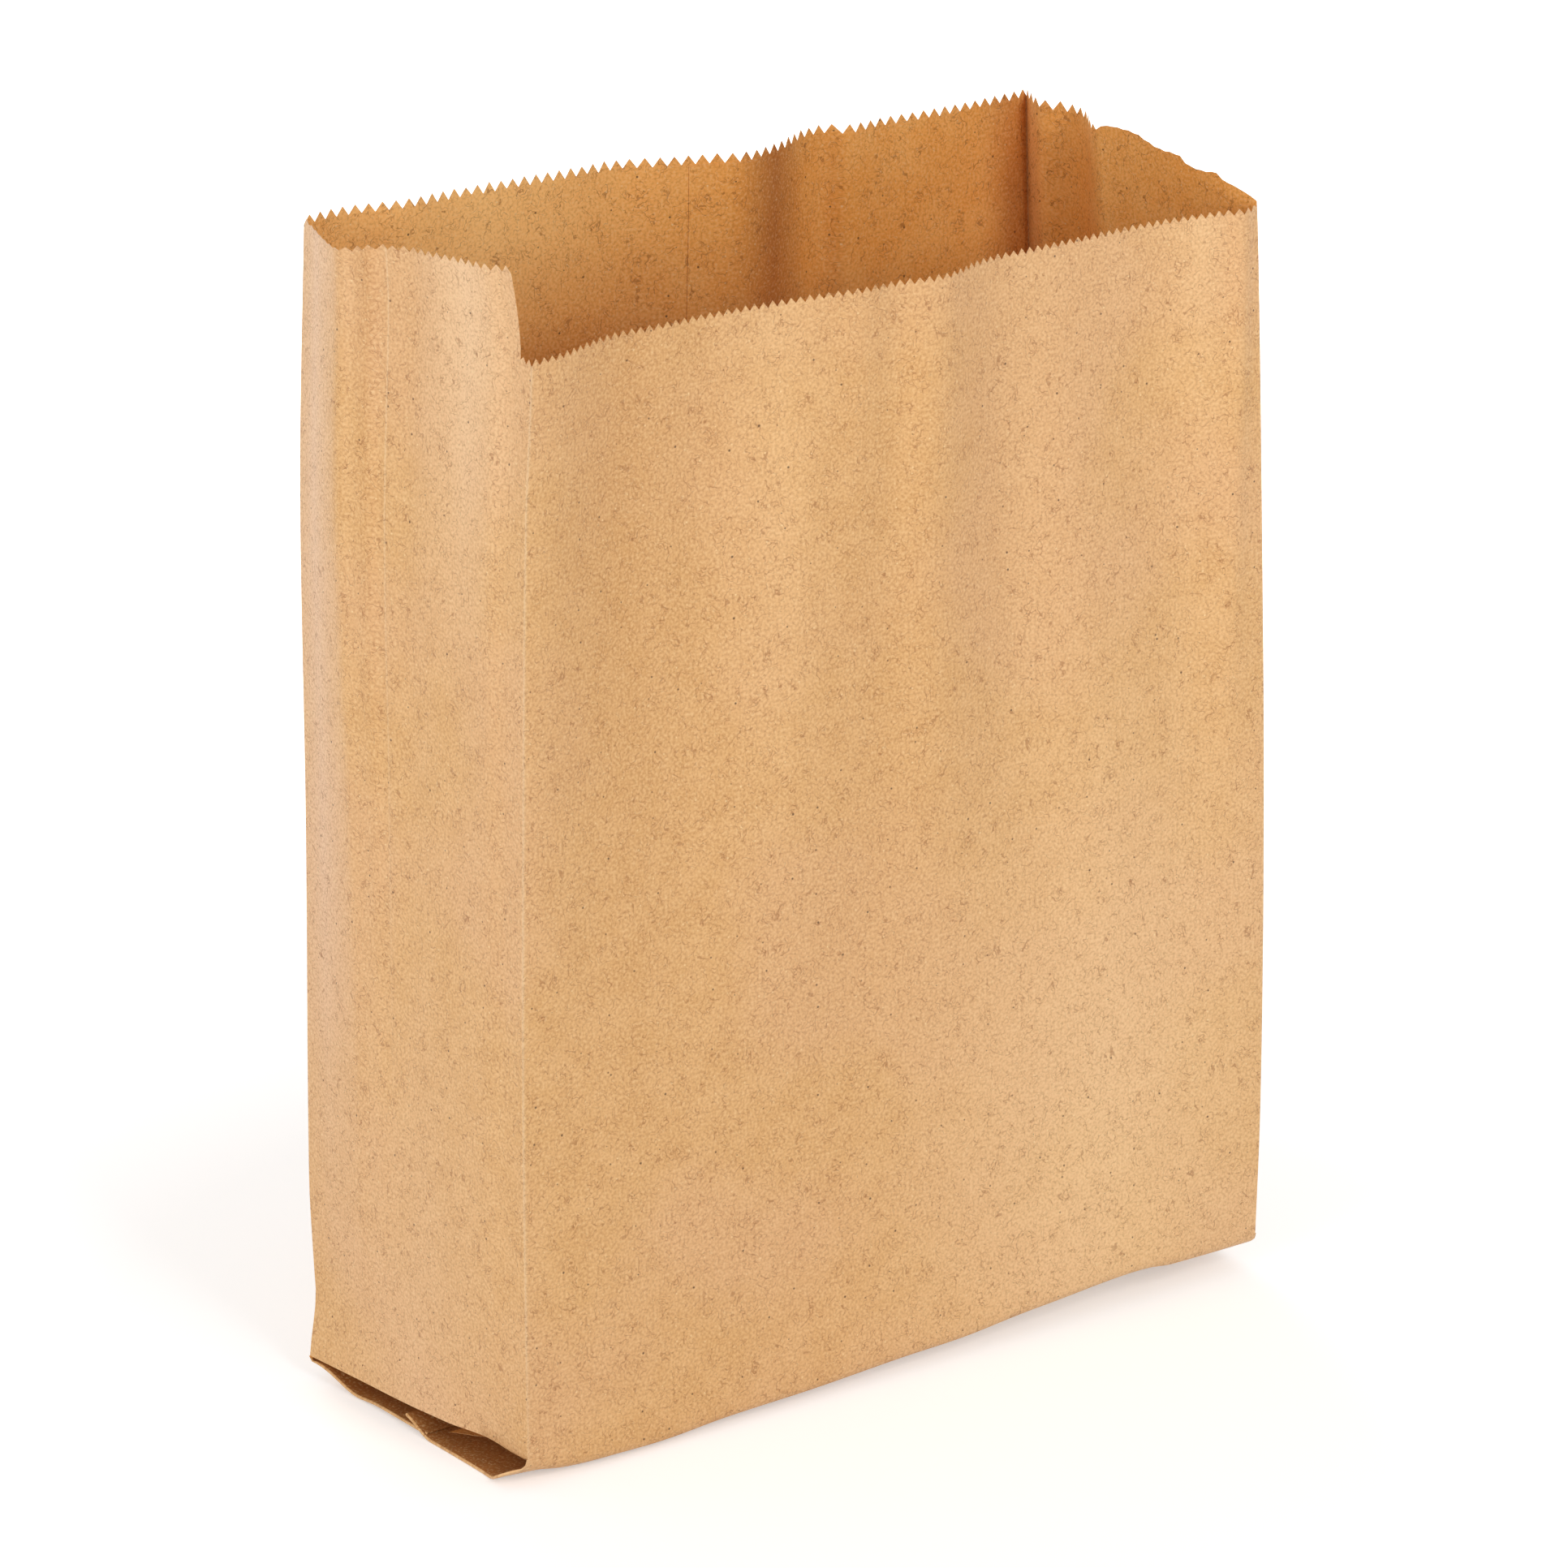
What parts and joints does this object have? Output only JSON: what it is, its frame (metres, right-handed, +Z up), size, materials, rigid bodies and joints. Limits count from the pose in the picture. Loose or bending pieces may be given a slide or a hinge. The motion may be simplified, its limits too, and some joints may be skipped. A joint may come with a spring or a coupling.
{
  "type": "sanitary disposal bag",
  "caption": "Open-standing folded kraft paper bag with gusseted sides, lower toothed front lip and flat block bottom, used as a bin liner.",
  "frame": {"origin": "on the ground under the middle of the bag's outline", "axes": "+Z up through the mouth, +Y towards the back panel that carries the glued lap, -Y towards the lower front lip, X along the panels"},
  "size_m": [0.1941, 0.0782, 0.2597],
  "materials": {
    "kraft_paper": "uncoated brown kraft, lightly machine glazed"
  },
  "bodies": {
    "root": {"paper_bag": "kraft_paper"}
  },
  "joints": []
}
